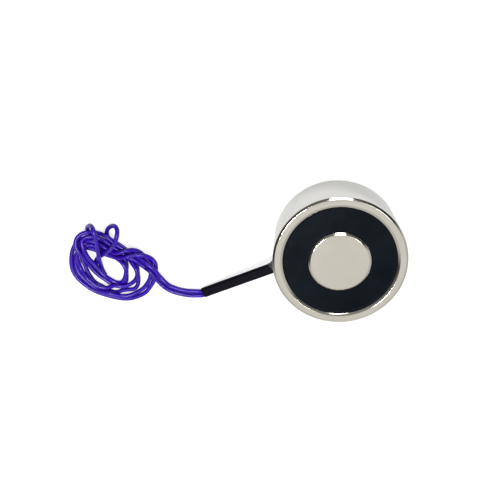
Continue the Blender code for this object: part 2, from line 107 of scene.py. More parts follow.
# The leads' centre lines, the part inside the pot and the sleeve first, then free to the hank
LEAD_A_HELD = [
    (-12.2, 5.23, 6.5), (-13.33, 3.34, 6.5), (-16.74, 0.97, 6.73), (-17.48, 0.9, 6.6),
    (-32.88, -0.63, 3.85), (-48.28, -2.15, 1.1), (-49.01, -2.23, 0.97),
]
LEAD_B_HELD = [
    (-12.2, -5.23, 6.5), (-13.33, -3.34, 6.5), (-16.59, -0.62, 6.73), (-17.32, -0.7, 6.6),
    (-32.72, -2.22, 3.85), (-48.12, -3.75, 1.1), (-48.86, -3.82, 0.97),
]
LEAD_A_FREE = [
    (-50.3, -1.8, 0.9), (-52.2, -1.05, 0.9), (-54.0, -0.25, 0.8), (-55.7, 0.8, 0.8),
    (-57.2, 2.05, 0.8), (-58.4, 3.3, 0.85), (-59.18, 5.13, 1.2),
]
LEAD_B_FREE = [
    (-50.8, -3.3, 0.9), (-52.8, -2.6, 0.9), (-54.7, -1.7, 0.8), (-56.6, -0.5, 0.8),
    (-58.4, 0.95, 0.8), (-59.68, 2.43, 0.85), (-60.49, 4.09, 1.1),
]

# The turns of each lead in the hank, from where it enters to where its insulation ends
LEAD_A_TURNS = [
    # over the hank and round its far end
    (-60.1, 7.6, 1.0), (-60.6, 11.5, 2.2), (-61.6, 13.4, 2.2), (-62.8, 15.0, 1.5),
    (-64.3, 16.8, 1.0), (-66.2, 19.3, 1.6), (-67.6, 21.5, 2.0), (-68.7, 23.2, 2.0),
    (-69.6, 24.8, 2.0), (-70.5, 26.8, 2.1), (-71.8, 28.1, 1.7), (-73.4, 29.0, 1.1),
    (-74.7, 29.9, 1.3), (-76.0, 30.6, 2.1), (-77.7, 30.9, 2.6), (-79.3, 30.5, 3.0),
    (-80.5, 29.6, 3.2), (-81.2, 28.4, 3.4), (-81.5, 26.9, 3.5), (-81.3, 25.1, 3.4),
    (-81.0, 23.3, 3.0),
    # back along the middle to the hank's near end
    (-81.0, 21.7, 2.3), (-81.0, 19.9, 1.3), (-80.8, 18.1, 1.0), (-80.2, 16.3, 0.9),
    (-79.5, 14.7, 0.8), (-78.4, 13.1, 0.8), (-77.1, 11.1, 0.8), (-75.9, 9.6, 0.8),
    (-74.5, 8.9, 0.8), (-73.1, 9.1, 0.8), (-71.9, 10.1, 0.8),
    # under itself beside the eye
    (-71.0, 11.7, 0.8), (-70.1, 13.6, 0.8), (-69.1, 15.3, 0.8), (-68.7, 17.0, 0.8),
    (-69.1, 18.8, 0.8), (-70.2, 20.6, 0.8), (-71.3, 22.1, 0.8), (-72.8, 23.5, 0.8),
    (-74.3, 25.2, 0.8), (-76.0, 27.1, 0.8), (-78.0, 28.3, 0.8), (-80.0, 28.8, 0.8),
    (-81.9, 28.4, 0.8), (-83.3, 27.3, 0.8),
    # the outermost turn on the floor
    (-84.5, 26.2, 0.8), (-85.6, 24.7, 0.8), (-86.6, 23.0, 0.8), (-87.4, 21.2, 0.8),
    (-87.8, 19.5, 0.8), (-87.8, 17.6, 0.8), (-87.4, 15.8, 0.8), (-86.4, 13.7, 0.8),
    (-85.1, 11.5, 0.8), (-83.5, 9.6, 0.8), (-81.8, 8.1, 0.8), (-79.9, 6.7, 0.8),
    (-77.9, 5.5, 0.8), (-75.7, 4.5, 0.8), (-73.6, 4.0, 0.8), (-71.4, 3.7, 0.8),
    (-69.1, 3.7, 0.8), (-67.0, 4.1, 0.8), (-65.2, 5.1, 0.8), (-63.5, 6.2, 0.8),
    (-62.1, 7.6, 0.8), (-61.0, 9.2, 0.8), (-60.2, 10.8, 0.8), (-59.8, 12.4, 0.8),
    (-60.2, 14.0, 0.8), (-61.0, 15.5, 1.3),
    # back over the top into the second turn
    (-62.2, 17.0, 2.3), (-64.1, 17.9, 2.6), (-66.3, 18.6, 3.4), (-69.1, 18.8, 2.6),
    (-71.3, 19.5, 2.0), (-73.0, 20.8, 1.6), (-74.6, 22.5, 1.1), (-76.2, 24.5, 0.9),
    (-77.7, 25.8, 1.0), (-79.2, 26.3, 1.5), (-80.7, 25.7, 2.1), (-82.5, 23.7, 0.8),
    (-83.3, 21.8, 0.8), (-83.3, 20.2, 0.8), (-83.5, 18.5, 0.8), (-83.6, 16.9, 0.8),
    (-83.4, 15.0, 0.8), (-82.8, 12.6, 0.8), (-81.3, 10.7, 0.8), (-79.7, 8.8, 0.8),
    (-78.3, 7.5, 0.8), (-76.7, 6.9, 0.8), (-74.6, 6.9, 0.8),
    # up beside the eye and into the right-hand loop
    (-72.4, 6.5, 0.8), (-70.5, 6.2, 0.8), (-68.9, 7.1, 0.8), (-67.7, 9.1, 0.8),
    (-67.0, 11.2, 0.8), (-66.3, 13.1, 0.8), (-65.8, 15.0, 0.8), (-65.8, 16.9, 0.8),
    (-66.6, 18.8, 0.8), (-67.9, 20.8, 0.8), (-69.1, 22.8, 0.8), (-70.2, 24.4, 0.8),
    (-71.0, 26.0, 0.8), (-71.0, 27.5, 0.8), (-69.9, 28.8, 1.6), (-67.9, 29.9, 3.5),
    (-66.0, 30.3, 4.9), (-64.5, 30.0, 6.5), (-64.1, 29.0, 7.6), (-64.6, 27.6, 8.5),
    (-66.2, 25.8, 8.1), (-68.5, 24.1, 6.7), (-71.2, 22.9, 4.6), (-73.7, 22.0, 2.8),
    # its end goes under the hank
    (-75.7, 21.4, 1.8), (-77.5, 20.7, 0.8), (-78.6, 19.9, 0.8), (-79.3, 18.9, 0.8),
    (-79.7, 17.8, 0.8), (-79.7, 16.5, 0.8),
]
LEAD_B_TURNS = [
    # over the hank beside its twin and round inside it
    (-61.3, 5.7, 0.8), (-61.4, 7.5, 1.8), (-62.1, 10.8, 2.2), (-63.5, 12.4, 1.2),
    (-64.4, 14.2, 1.3), (-65.1, 15.9, 1.9), (-66.2, 17.4, 2.2), (-67.6, 18.9, 2.0),
    (-68.9, 20.6, 2.0), (-70.0, 22.3, 2.0), (-71.0, 24.0, 2.0), (-72.1, 25.7, 1.8),
    (-73.3, 27.1, 1.7), (-74.5, 28.3, 1.9), (-75.8, 29.0, 2.3), (-77.3, 29.4, 2.6),
    (-78.6, 28.9, 3.1), (-79.1, 27.6, 3.4), (-79.4, 25.9, 3.5), (-79.6, 23.9, 3.2),
    # back along the middle, next to its twin
    (-79.5, 22.1, 3.0), (-79.1, 20.3, 2.7), (-78.7, 18.4, 2.5), (-78.2, 16.4, 2.2),
    (-77.6, 14.3, 2.1), (-77.1, 12.3, 1.1), (-76.0, 10.6, 0.9), (-74.4, 9.8, 1.0),
    (-72.4, 10.3, 1.9), (-70.8, 11.8, 2.2), (-69.7, 13.3, 2.2), (-69.1, 14.9, 2.2),
    (-69.1, 16.5, 2.1), (-69.6, 18.0, 1.5), (-70.7, 19.2, 0.9),
    # under the top to the far end again
    (-72.2, 20.2, 0.8), (-73.6, 21.1, 0.8), (-75.2, 22.3, 0.8), (-76.9, 24.0, 0.8),
    (-78.8, 25.2, 0.8), (-80.7, 25.6, 0.8), (-82.6, 25.5, 0.8), (-83.8, 24.5, 0.8),
    # the second turn on the floor
    (-84.7, 23.4, 0.8), (-85.4, 22.1, 0.8), (-85.9, 20.7, 0.8), (-86.1, 19.3, 0.8),
    (-86.0, 17.8, 0.8), (-85.6, 16.2, 0.8), (-84.7, 14.3, 0.8), (-83.5, 12.3, 0.8),
    (-82.1, 10.7, 0.9), (-80.2, 9.4, 1.8), (-78.4, 8.0, 2.2), (-77.0, 6.6, 1.9),
    (-76.0, 5.5, 1.4), (-74.5, 4.5, 1.1), (-72.8, 4.0, 0.9), (-71.0, 4.1, 0.8),
    (-68.9, 4.5, 0.8), (-66.9, 5.2, 0.8), (-65.2, 6.3, 0.8), (-63.7, 7.6, 0.8),
    (-62.6, 9.1, 0.8), (-61.7, 10.7, 0.8), (-61.2, 12.5, 0.8), (-61.7, 14.2, 0.8),
    (-62.2, 15.7, 0.8),
    # back over the top
    (-62.8, 17.3, 0.9), (-63.7, 18.7, 1.4), (-64.9, 19.7, 2.1), (-66.1, 20.4, 3.1),
    (-67.9, 20.8, 3.5), (-70.0, 21.1, 2.8), (-71.8, 22.4, 2.1), (-73.2, 24.3, 2.1),
    (-74.7, 26.1, 2.1), (-76.4, 27.5, 2.2), (-78.6, 28.0, 1.9), (-80.6, 27.4, 1.6),
    (-81.8, 26.0, 2.0), (-83.0, 24.3, 2.0),
    # along the groove between the lower turns
    (-83.8, 22.4, 1.7), (-84.5, 20.3, 0.9), (-84.4, 18.3, 1.1), (-83.7, 16.4, 2.0),
    (-82.9, 14.4, 2.2), (-82.1, 12.5, 2.2), (-80.6, 11.0, 2.1), (-79.0, 10.1, 1.9),
    (-77.2, 10.1, 2.1), (-75.6, 10.1, 2.2), (-73.8, 9.2, 2.2), (-71.9, 8.6, 1.7),
    (-69.9, 8.7, 1.2), (-67.7, 9.8, 2.0), (-66.4, 11.2, 2.2), (-65.9, 13.0, 2.2),
    (-66.3, 14.8, 1.6), (-67.1, 16.4, 0.8), (-67.8, 18.2, 0.8), (-68.8, 20.0, 0.8),
    # under the top into the left-hand loop
    (-70.1, 21.8, 0.8), (-71.4, 23.5, 0.8), (-72.7, 25.1, 0.8), (-74.1, 26.6, 0.8),
    (-75.3, 28.1, 0.8), (-76.1, 29.4, 0.8), (-76.4, 30.5, 0.8), (-75.8, 31.6, 1.7),
    (-74.5, 32.4, 3.4), (-72.8, 32.9, 5.4), (-71.5, 32.6, 7.3), (-71.1, 31.8, 8.4),
    (-71.3, 30.4, 8.6), (-71.8, 28.6, 8.2), (-73.0, 26.3, 6.7), (-74.4, 23.9, 4.9),
    # its end goes under the hank
    (-75.6, 21.7, 3.5), (-76.8, 19.7, 1.9), (-77.7, 17.9, 0.9), (-78.0, 16.4, 0.8),
    (-78.0, 14.9, 0.8), (-77.8, 13.5, 0.8),
]


def principled(name, colour, roughness, metallic=0.0, specular=0.5):
    """A Principled material of one colour."""
    made = bpy.data.materials.new(name)
    made.use_nodes = True
    shader = made.node_tree.nodes["Principled BSDF"]
    shader.inputs["Base Color"].default_value = (*colour, 1.0)
    shader.inputs["Roughness"].default_value = roughness
    shader.inputs["Metallic"].default_value = metallic
    shader.inputs["Specular IOR Level"].default_value = specular
    return made


def node(finish, kind, **settings):
    """A new node of this kind in a material, with its settings."""
    made = finish.node_tree.nodes.new(kind)
    for key, value in settings.items():
        setattr(made, key, value)
    return made


def link(finish, output, target):
    finish.node_tree.links.new(output, target)


def noise_of(finish, scale, detail=3.0, stretch=(1.0, 1.0, 1.0)):
    """A noise in the object's own metres; scale is features in each metre."""
    place = node(finish, "ShaderNodeTexCoord")
    mapping = node(finish, "ShaderNodeMapping")
    mapping.inputs["Scale"].default_value = stretch
    made = node(finish, "ShaderNodeTexNoise")
    made.inputs["Scale"].default_value = scale
    made.inputs["Detail"].default_value = detail
    link(finish, place.outputs["Object"], mapping.inputs["Vector"])
    link(finish, mapping.outputs["Vector"], made.inputs["Vector"])
    return made.outputs["Fac"]


def spread_over(finish, factor, low, high):
    """A factor of about 0.3 to 0.7 brought to the range from low to high."""
    ranged = node(finish, "ShaderNodeMapRange")
    ranged.inputs["From Min"].default_value = 0.3
    ranged.inputs["From Max"].default_value = 0.7
    ranged.inputs["To Min"].default_value = low
    ranged.inputs["To Max"].default_value = high
    link(finish, factor, ranged.inputs["Value"])
    return ranged.outputs["Result"]


def vary_roughness(finish, scale, low, high, stretch=(1.0, 1.0, 1.0)):
    shader = finish.node_tree.nodes["Principled BSDF"]
    factor = noise_of(finish, scale, stretch=stretch)
    link(finish, spread_over(finish, factor, low, high), shader.inputs["Roughness"])


def vary_colour(finish, scale, dark, light, stretch=(1.0, 1.0, 1.0)):
    shader = finish.node_tree.nodes["Principled BSDF"]
    mix = node(finish, "ShaderNodeMix", data_type="RGBA")
    mix.inputs["A"].default_value = (*dark, 1.0)
    mix.inputs["B"].default_value = (*light, 1.0)
    factor = noise_of(finish, scale, stretch=stretch)
    link(finish, spread_over(finish, factor, 0.0, 1.0), mix.inputs["Factor"])
    link(finish, mix.outputs["Result"], shader.inputs["Base Color"])


def bump(finish, height, depth):
    """Adds a bump of this depth in metres on top of any that the material has."""
    shader = finish.node_tree.nodes["Principled BSDF"]
    made = node(finish, "ShaderNodeBump")
    made.inputs["Distance"].default_value = depth
    if shader.inputs["Normal"].is_linked:
        link(finish, shader.inputs["Normal"].links[0].from_socket, made.inputs["Normal"])
    link(finish, height, made.inputs["Height"])
    link(finish, made.outputs["Normal"], shader.inputs["Normal"])


def wave_of(finish, kind, direction, spacing):
    """Rings or bands this far apart in metres, slightly uneven, as a tool leaves them."""
    place = node(finish, "ShaderNodeTexCoord")
    made = node(finish, "ShaderNodeTexWave", wave_type=kind)
    if kind == "RINGS":
        made.rings_direction = direction
    else:
        made.bands_direction = direction
    made.inputs["Scale"].default_value = math.tau / 20.0 / spacing
    made.inputs["Distortion"].default_value = 0.4
    link(finish, place.outputs["Object"], made.inputs["Vector"])
    return made.outputs["Fac"]


def nickel_finish(name, kind, dark, light):
    """Bright nickel over turned steel: cloudy gloss and very fine tool marks."""
    made = principled(name, light, 0.2, metallic=1.0)
    vary_colour(made, 90.0, dark, light)
    vary_roughness(made, 160.0, 0.07, 0.1)
    bump(made, wave_of(made, kind, "Z", 0.12 * MM), 0.0004 * MM)
    bump(made, noise_of(made, 120.0), 0.006 * MM)
    return made


def violet_finish():
    """Glossy violet PVC, slightly uneven from its extrusion."""
    made = principled("violet_pvc", (0.03, 0.001, 0.37), 0.3, specular=0.4)
    vary_colour(made, 140.0, (0.026, 0.001, 0.30), (0.036, 0.001, 0.42))
    vary_roughness(made, 200.0, 0.29, 0.32)
    bump(made, noise_of(made, 200.0), 0.001 * MM)
    return made


def resin_finish():
    """Cast blue-black epoxy, satin where it cured against air."""
    made = principled("black_resin", (0.002, 0.004, 0.008), 0.4, specular=0.05)
    vary_colour(made, 130.0, (0.001, 0.003, 0.006), (0.003, 0.006, 0.010))
    vary_roughness(made, 200.0, 0.34, 0.5)
    bump(made, noise_of(made, 350.0), 0.03 * MM)
    return made


def shrink_finish():
    """Matt black polyolefin with faint lengthwise draw marks."""
    made = principled("heat_shrink", (0.002, 0.002, 0.006), 0.35, specular=0.11)
    vary_roughness(made, 300.0, 0.28, 0.42)
    bump(made, noise_of(made, 700.0, stretch=(0.15, 1.0, 1.0)), 0.03 * MM)
    return made


def epoxy_finish():
    """Grey epoxy with a wet gloss."""
    made = principled("seal_epoxy", (0.06, 0.06, 0.065), 0.25)
    vary_roughness(made, 400.0, 0.14, 0.26)
    bump(made, noise_of(made, 500.0), 0.03 * MM)
    return made


def tinned_finish():
    """Copper under a dull coat of solder."""
    made = principled("tinned_copper", (0.62, 0.62, 0.64), 0.3, metallic=1.0)
    vary_roughness(made, 900.0, 0.25, 0.45)
    bump(made, noise_of(made, 1500.0), 0.02 * MM)
    return made


def paper_finish():
    """Grey-green fish paper with its fibres."""
    made = principled("fish_paper", (0.30, 0.33, 0.30), 0.85)
    vary_colour(made, 600.0, (0.26, 0.29, 0.26), (0.34, 0.37, 0.33), stretch=(1.0, 0.2, 1.0))
    bump(made, noise_of(made, 1500.0), 0.02 * MM)
    return made


def nylon_finish():
    """Unpigmented moulded nylon."""
    made = principled("bobbin_nylon", (0.82, 0.80, 0.74), 0.5)
    vary_colour(made, 200.0, (0.79, 0.77, 0.70), (0.84, 0.82, 0.77))
    bump(made, noise_of(made, 1200.0), 0.01 * MM)
    return made


def winding_finish():
    """Rows of enamelled wire, as bands round the coil."""
    made = principled("enamelled_copper", (0.60, 0.26, 0.11), 0.3, metallic=1.0)
    vary_colour(made, 300.0, (0.54, 0.22, 0.09), (0.66, 0.30, 0.13))
    bump(made, wave_of(made, "BANDS", "Z", 0.4 * MM), 0.1 * MM)
    return made


def wire_finish():
    """A single enamelled copper wire."""
    made = principled("enamelled_wire", (0.60, 0.26, 0.11), 0.3, metallic=1.0)
    vary_colour(made, 500.0, (0.54, 0.22, 0.09), (0.66, 0.30, 0.13))
    return made


def tape_finish():
    """Yellow polyester tape with faint creases."""
    made = principled("polyester_tape", (0.75, 0.52, 0.08), 0.35)
    vary_roughness(made, 300.0, 0.25, 0.45)
    bump(made, noise_of(made, 500.0, stretch=(1.0, 1.0, 0.2)), 0.02 * MM)
    return made


def sleeving_finish():
    """Milky sleeving, as pushed over a joint."""
    made = principled("clear_sleeving", (0.75, 0.75, 0.70), 0.45)
    vary_roughness(made, 800.0, 0.35, 0.55)
    bump(made, noise_of(made, 1200.0), 0.02 * MM)
    return made


def add_piece(name, bm, slot, *finishes):
    """Turns a bmesh in millimetres into a smooth piece that rides on the object."""
    bmesh.ops.scale(bm, vec=(MM, MM, MM), verts=bm.verts)
    bmesh.ops.recalc_face_normals(bm, faces=bm.faces)
    mesh = bpy.data.meshes.new(name)
    bm.to_mesh(mesh)
    bm.free()
    mesh.shade_smooth()
    mesh.set_sharp_from_angle(angle=math.radians(35))
    for finish in finishes:
        mesh.materials.append(finish)
    made = bpy.data.objects.new(name, mesh)
    bpy.context.scene.collection.objects.link(made)
    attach(made, "root")
    return made


def rounded(profile, radius, steps=4):
    """A (radius, height) section with each of its corners rounded by an arc."""
    found = []
    for before, corner, after in zip(profile, profile[1:], profile[2:]):
        to_before = Vector(before) - Vector(corner)
        to_after = Vector(after) - Vector(corner)
        reach = min(radius, to_before.length / 2.5, to_after.length / 2.5)
        start = Vector(corner) + to_before.normalized() * reach
        end = Vector(corner) + to_after.normalized() * reach
        for step in range(steps + 1):
            t = step / steps
            point = start * (1 - t) ** 2 + Vector(corner) * 2 * t * (1 - t) + end * t**2
            found.append((point.x, point.y))
    return [profile[0], *found, profile[-1]]


def turned(bm, profile, sides, closed):
    """Sweeps a (radius, height) section round Z; an open one starts and ends on the axis."""
    rings = []
    for radius, height in profile:
        if radius < 1e-6:
            rings.append([bm.verts.new((0.0, 0.0, height))])
            continue
        ring = []
        for side in range(sides):
            turn = math.tau * side / sides
            ring.append(bm.verts.new((radius * math.cos(turn), radius * math.sin(turn), height)))
        rings.append(ring)
    pairs = list(zip(rings, rings[1:]))
    if closed:
        pairs.append((rings[-1], rings[0]))
    for first, second in pairs:
        for side in range(sides):
            after = (side + 1) % sides
            corners = [
                first[side % len(first)],
                first[after % len(first)],
                second[after % len(second)],
                second[side % len(second)],
            ]
            bm.faces.new(dict.fromkeys(corners))


def join_rings(bm, rings):
    """Faces from each ring of points to the next one, which has as many."""
    for first, second in zip(rings, rings[1:]):
        for index in range(len(first)):
            after = (index + 1) % len(first)
            bm.faces.new((first[index], first[after], second[after], second[index]))


def side_drill():
    """The cutter of the hole that the leads leave by, as long as the wall is thick twice over."""
    wall = POT_RADIUS - BORE_RADIUS
    bm = bmesh.new()
    bmesh.ops.create_cone(
        bm,
        cap_ends=True,
        segments=64,
        radius1=LEAD_HOLE_RADIUS * MM,
        radius2=LEAD_HOLE_RADIUS * MM,
        depth=2 * wall * MM,
    )
    turn = Matrix.Rotation(math.pi / 2, 4, "Y")
    shift = Matrix.Translation((-(BORE_RADIUS + wall / 2) * MM, 0.0, LEAD_HOLE_HEIGHT * MM))
    bmesh.ops.transform(bm, matrix=shift @ turn, verts=bm.verts)
    mesh = bpy.data.meshes.new("side_drill")
    bm.to_mesh(mesh)
    bm.free()
    made = bpy.data.objects.new("side_drill", mesh)
    bpy.context.scene.collection.objects.link(made)
    return made


def make_pot():
    """The plated pot with its pole, every turned edge slightly rounded."""
    top, root = POT_HEIGHT, GROOVE_ROOT_RADIUS
    profile = [
        (0.0, top),
        (POLE_RADIUS - POLE_CHAMFER, top),
        (POLE_RADIUS, top - POLE_CHAMFER * CHAMFER_FALL),
        (POLE_RADIUS, BASE_THICKNESS + root),
        (POLE_RADIUS + root, BASE_THICKNESS),
        (BORE_RADIUS - root, BASE_THICKNESS),
        (BORE_RADIUS, BASE_THICKNESS + root),
        (BORE_RADIUS, top - MOUTH_CHAMFER * CHAMFER_FALL),
        (BORE_RADIUS + MOUTH_CHAMFER, top),
        (POT_RADIUS - RIM_CHAMFER, top),
        (POT_RADIUS, top - RIM_CHAMFER * CHAMFER_FALL),
        (POT_RADIUS, BACK_CHAMFER),
        (POT_RADIUS - BACK_CHAMFER, 0.0),
        (THREAD_MOUTH_RADIUS, 0.0),
        (THREAD_RADIUS, THREAD_MOUTH_RADIUS - THREAD_RADIUS),
        (THREAD_RADIUS, MOUNT_HOLE_DEPTH),
        (0.0, MOUNT_HOLE_DEPTH + DRILL_POINT_DEPTH),
    ]
    bm = bmesh.new()
    turned(bm, rounded(profile, EDGE_RADIUS), POT_SIDES, closed=False)
    # Two copies of the one nickel plating: the faces are painted darker and warmer as painted shade,
    # the sides lighter as a painted sheen, for what each reflects
    faces = nickel_finish("nickel_face_painted_shade", "RINGS", (0.67, 0.635, 0.55), (0.71, 0.68, 0.605))
    sides = nickel_finish("nickel_side_painted_sheen", "BANDS", (0.72, 0.71, 0.67), (0.76, 0.755, 0.725))
    pot = add_piece("plated_pot", bm, "nickel_plated_steel", faces, sides)
    # Faces that look up or down take the copy with the painted shade, all others the lighter copy
    # with the painted sheen
    for face in pot.data.polygons:
        face.material_index = 0 if abs(face.normal.z) > 0.5 else 1
    drill = side_drill()
    cut = pot.modifiers.new("side_hole", "BOOLEAN")
    cut.operation = "DIFFERENCE"
    cut.solver = "EXACT"
    cut.object = drill
    bpy.context.view_layer.update()
    depsgraph = bpy.context.evaluated_depsgraph_get()
    pot.data = bpy.data.meshes.new_from_object(pot.evaluated_get(depsgraph))
    pot.modifiers.clear()
    bpy.data.objects.remove(drill)
    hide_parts("pot_housing")
    return pot


def make_thread():
    """The M5 thread's ridge, one helix up the blind hole in the back."""
    bm = bmesh.new()
    root = THREAD_RADIUS + 0.02
    half = THREAD_PITCH * 0.46
    flat = THREAD_PITCH * 0.12
    thinnest = 0.05
    steps_each_turn = 48
    turns = (MOUNT_HOLE_DEPTH - 2 * THREAD_PITCH) / THREAD_PITCH
    steps = round(turns * steps_each_turn)
    rings = []
    for step in range(steps + 1):
        angle = math.tau * step / steps_each_turn
        height = THREAD_PITCH + step * THREAD_PITCH / steps_each_turn
        fade = min(1.0, step / steps_each_turn, (steps - step) / steps_each_turn)
        crest = THREAD_RADIUS - (THREAD_RADIUS - TAPPED_RADIUS) * max(fade, thinnest)
        outward = Vector((math.cos(angle), math.sin(angle), 0.0))
        ring = []
        for radius, rise in ((root, -half), (crest, -flat), (crest, flat), (root, half)):
            ring.append(bm.verts.new(outward * radius + Vector((0.0, 0.0, height + rise))))
        rings.append(ring)
    join_rings(bm, rings)
    bm.faces.new(rings[0])
    bm.faces.new(rings[-1])
    # The thread takes the sides' lighter copy of the plating, with its painted sheen
    return add_piece("mount_thread", bm, "nickel_plated_steel", bpy.data.materials["nickel_side_painted_sheen"])


def make_resin():
    """The cast resin, drawn up a little where it wets the pole and the rim."""
    gap = 0.02
    inner, outer = POLE_RADIUS + gap, BORE_RADIUS - gap
    climb, reach = 0.16, 0.7
    swell, swell_scale = 0.05, 0.35
    steps = 10
    top = []
    for step in range(steps + 1):
        away = reach * step / steps
        rise = climb * (1 - away / reach) ** 3
        top.append((away, RESIN_TOP + rise))
    over_pole = [(inner + away, height) for away, height in top]
    over_rim = [(outer - away, height) for away, height in reversed(top)]
    middle = [(inner + (outer - inner) * share, RESIN_TOP) for share in (0.25, 0.4, 0.5, 0.6, 0.75)]
    profile = [
        *over_pole,
        *middle,
        *over_rim,
        (outer, RESIN_SKIRT_BOTTOM),
        (RESIN_SKIRT_RADIUS, RESIN_SKIRT_BOTTOM),
        (RESIN_SKIRT_RADIUS, RESIN_BOTTOM),
        (inner, RESIN_BOTTOM),
    ]
    bm = bmesh.new()
    turned(bm, profile, RESIN_SIDES, closed=True)
    for vert in bm.verts:
        if vert.co.z > (RESIN_BOTTOM + RESIN_TOP) / 2:
            vert.co.z += swell * noise.noise(vert.co * swell_scale)
    resin = add_piece("cast_resin", bm, "black_resin", resin_finish())
    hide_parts("potting_resin")
    return resin


def slope(before, here, after, gap_before, gap_after):
    """How fast the curve moves on at a point, from the points on both sides of it."""
    whole = gap_before + gap_after
    return (here - before) / gap_before - (after - before) / whole + (after - here) / gap_after


def smooth_line(points, spacing):
    """Points at an even spacing on a smooth curve through the given ones."""
    knots = [Vector(point) for point in points]
    knots = [2 * knots[0] - knots[1], *knots, 2 * knots[-1] - knots[-2]]
    steps = 24
    fine = []
    for before, start, end, after in zip(knots, knots[1:], knots[2:], knots[3:]):
        # weighed by the root of each gap, so that a short gap beside a long one makes no loop
        gaps = [math.sqrt((b - a).length) for a, b in ((before, start), (start, end), (end, after))]
        leave = slope(before, start, end, gaps[0], gaps[1]) * gaps[1]
        arrive = slope(start, end, after, gaps[1], gaps[2]) * gaps[1]
        for step in range(steps):
            t = step / steps
            fine.append(
                start * (2 * t**3 - 3 * t**2 + 1)
                + leave * (t**3 - 2 * t**2 + t)
                + end * (3 * t**2 - 2 * t**3)
                + arrive * (t**3 - t**2)
            )
    fine.append(knots[-2])
    line = np.array([tuple(point) for point in fine])
    passed = np.concatenate([[0.0], np.cumsum(np.linalg.norm(np.diff(line, axis=0), axis=1))])
    places = np.linspace(0.0, passed[-1], round(passed[-1] / spacing) + 1)
    return np.stack([np.interp(places, passed, line[:, axis]) for axis in range(3)], axis=1)


def settled(lines):
    """Moves the leads apart where they would cut each other, and keeps them on the floor."""
    push_share, smoothing = 0.8, 0.3
    places = np.concatenate(lines)
    home = places.copy()
    owner = np.concatenate([np.full(len(line), index) for index, line in enumerate(lines)])
    order = np.concatenate([np.arange(len(line)) for line in lines])
    held = order < HELD_LENGTH / SETTLING_SPACING
    ends = np.cumsum([len(line) for line in lines])
    apart = 2 * LEAD_RADIUS + 0.02
    near = math.ceil(2.2 * apart / SETTLING_SPACING)
    for _ in range(SETTLING_ROUNDS):
        squares = (places**2).sum(axis=1)
        distance = squares[:, None] + squares[None, :] - 2 * places @ places.T
        close = np.triu(distance < apart**2, 1)
        first, second = np.nonzero(close)
        other = (owner[first] != owner[second]) | (abs(order[first] - order[second]) >= near)
        first, second = first[other], second[other]
        between = places[second] - places[first]
        length = np.maximum(np.linalg.norm(between, axis=1), 1e-6)
        move = ((apart - length) / length / 2)[:, None] * between
        push = np.zeros_like(places)
        count = np.zeros(len(places))
        np.add.at(push, first, -move)
        np.add.at(push, second, move)
        np.add.at(count, first, 1)
        np.add.at(count, second, 1)
        shift = places - home + push_share * push / np.sqrt(np.maximum(count, 1))[:, None]
        start = 0
        for end in ends:
            part = shift[start:end]
            part[1:-1] += smoothing * ((part[:-2] + part[2:]) / 2 - part[1:-1])
            start = end
        places = home + shift
        places[:, 2] = np.maximum(places[:, 2], LEAD_RADIUS)
        places[held] = home[held]
    return np.split(places, ends[:-1])


def add_lead(name, line, finish):
    """A lead's round insulation as one open curve."""
    curve = bpy.data.curves.new(name, "CURVE")
    curve.dimensions = "3D"
    curve.bevel_depth = LEAD_RADIUS * MM
    curve.bevel_resolution = 4
    curve.use_fill_caps = True
    spline = curve.splines.new("POLY")
    spline.points.add(len(line) - 1)
    for point, place in zip(spline.points, line):
        point.co = (*(place * MM), 1.0)
    curve.materials.append(finish)
    made = bpy.data.objects.new(name, curve)
    bpy.context.scene.collection.objects.link(made)
    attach(made, "root")
    return made


def lead_lines():
    """The centre lines of both leads, from inside the pot to their ends under the hank."""
    routes = [
        [*LEAD_A_HELD, *LEAD_A_FREE, *LEAD_A_TURNS],
        [*LEAD_B_HELD, *LEAD_B_FREE, *LEAD_B_TURNS],
    ]
    lines = settled([smooth_line(route, SETTLING_SPACING) for route in routes])
    return [smooth_line(line, DRAWN_SPACING) for line in lines]


def make_tip(letter, line):
    """The stripped end of a lead: seven tinned strands in a slow twist."""
    bm = bmesh.new()
    end = Vector(line[-1])
    along = (Vector(line[-1]) - Vector(line[-3])).normalized()
    along.z = 0.0
    along.normalize()
    across = Vector((-along.y, along.x, 0.0))
    up = Vector((0.0, 0.0, 1.0))
    strand_radius = TIP_RADIUS / 3
    outer_strands = 6
    twist = 0.6
    overlap = 0.2
    steps = 24
    sides = 10
    for strand in range(outer_strands + 1):
        ring_radius = 0.0 if strand == outer_strands else 2 * strand_radius
        rings = []
        for step in range(steps + 1):
            share = step / steps
            drop = (end.z - TIP_RADIUS) * min(1.0, 2 * share) ** 2
            middle = end + along * (TIP_LENGTH * share - overlap) - up * drop
            turn = math.tau * (strand / outer_strands + share * twist)
            middle += (across * math.cos(turn) + up * math.sin(turn)) * ring_radius
            ring = []
            for side in range(sides):
                spoke = math.tau * side / sides
                reach = (across * math.cos(spoke) + up * math.sin(spoke)) * strand_radius
                ring.append(bm.verts.new(middle + reach))
            rings.append(ring)
        join_rings(bm, rings)
        bm.faces.new(rings[0])
        bm.faces.new(rings[-1])
    tip = add_piece(f"tinned_tip_{letter}", bm, "solder", bpy.data.materials["tinned_copper"])
    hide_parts(f"lead_tip_{letter}")
    return tip


def sleeve_frame():
    """The start of the sleeve's centre line and the directions along, across and up it."""
    along = (SLEEVE_END - SLEEVE_START).normalized()
    across = along.cross(Vector((0, 0, 1))).normalized()
    return SLEEVE_START, along, across, across.cross(along)


def twin_section(angle, offset):
    """A point of the line that hugs two round leads side by side, offset outward."""
    waist_depth, waist_width = 0.09, 0.55
    radius = LEAD_RADIUS + offset
    reach = LEAD_PITCH / 2
    side = math.cos(angle)
    out = radius * math.sin(angle)
    across = math.copysign(reach * min(1.0, abs(side) * 3), side) + radius * side
    waist = waist_depth * math.exp(-((across / waist_width) ** 2))
    return across, out * (1 - waist)


def loft(bm, outer, inner):
    """A closed tube between matching outer and inner rings."""
    rings = [*outer, *reversed(inner)]
    made = [[bm.verts.new(point) for point in ring] for ring in rings]
    join_rings(bm, [*made, made[0]])


